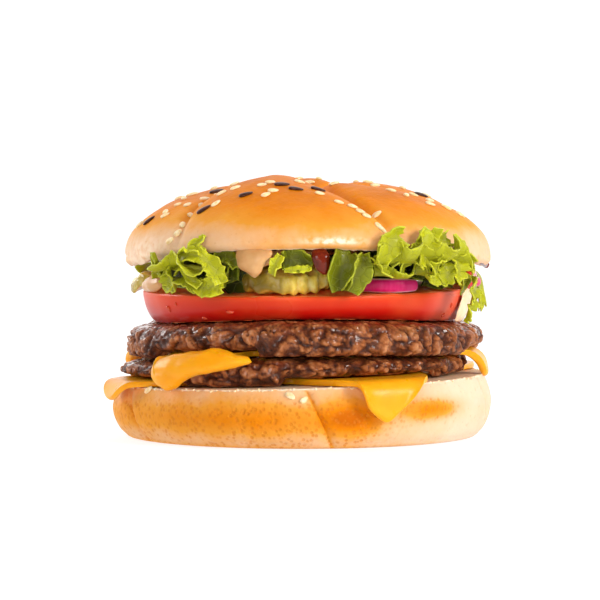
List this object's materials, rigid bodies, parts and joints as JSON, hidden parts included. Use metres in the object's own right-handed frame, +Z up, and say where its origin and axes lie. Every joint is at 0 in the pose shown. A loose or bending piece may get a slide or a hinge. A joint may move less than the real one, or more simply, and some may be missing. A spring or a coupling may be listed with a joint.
{
  "type": "hamburger",
  "caption": "Double cheeseburger in a seeded, knotted roll, with melted cheese, tomato, pickles, red onion, frilly lettuce and sauce.",
  "frame": {"origin": "middle of the heel's flat underside, on the surface it stands on", "axes": "+Z up through the stack; -Y is the burger's front, where the fillings show most; +X is to the right seen from the front"},
  "size_m": [0.1212, 0.1261, 0.0831],
  "materials": {
    "crust": "baked bread crust, satin with a light egg glaze",
    "beef": "seared minced beef, moist",
    "cheese": "melted processed cheese, glossy",
    "tomato": "wet tomato",
    "pickle": "wet pickled cucumber",
    "onion": "red onion, satin",
    "lettuce": "frilly lettuce, satin",
    "cream_sauce": "creamy pink sauce, glossy",
    "ketchup": "ketchup, glossy"
  },
  "bodies": {
    "root": {"bun_heel": "crust", "bun_crown": "crust", "patty_lower": "beef", "patty_upper": "beef", "cheese_lower": "cheese", "cheese_upper": "cheese", "tomato_slice": "tomato", "pickle_front": "pickle", "pickle_left": "pickle", "pickle_back": "pickle", "onion_front": "onion", "onion_right": "onion", "lettuce_left_high": "lettuce", "lettuce_left_low": "lettuce", "lettuce_right_high": "lettuce", "lettuce_right_low": "lettuce", "lettuce_centre": "lettuce", "lettuce_side": "lettuce", "lettuce_back_right": "lettuce", "lettuce_back_left": "lettuce", "lettuce_inner": "lettuce", "sauce_cream": "cream_sauce", "sauce_drip_right": "cream_sauce", "sauce_blob_left": "cream_sauce", "ketchup_right": "ketchup", "ketchup_front": "ketchup"}
  },
  "joints": []
}
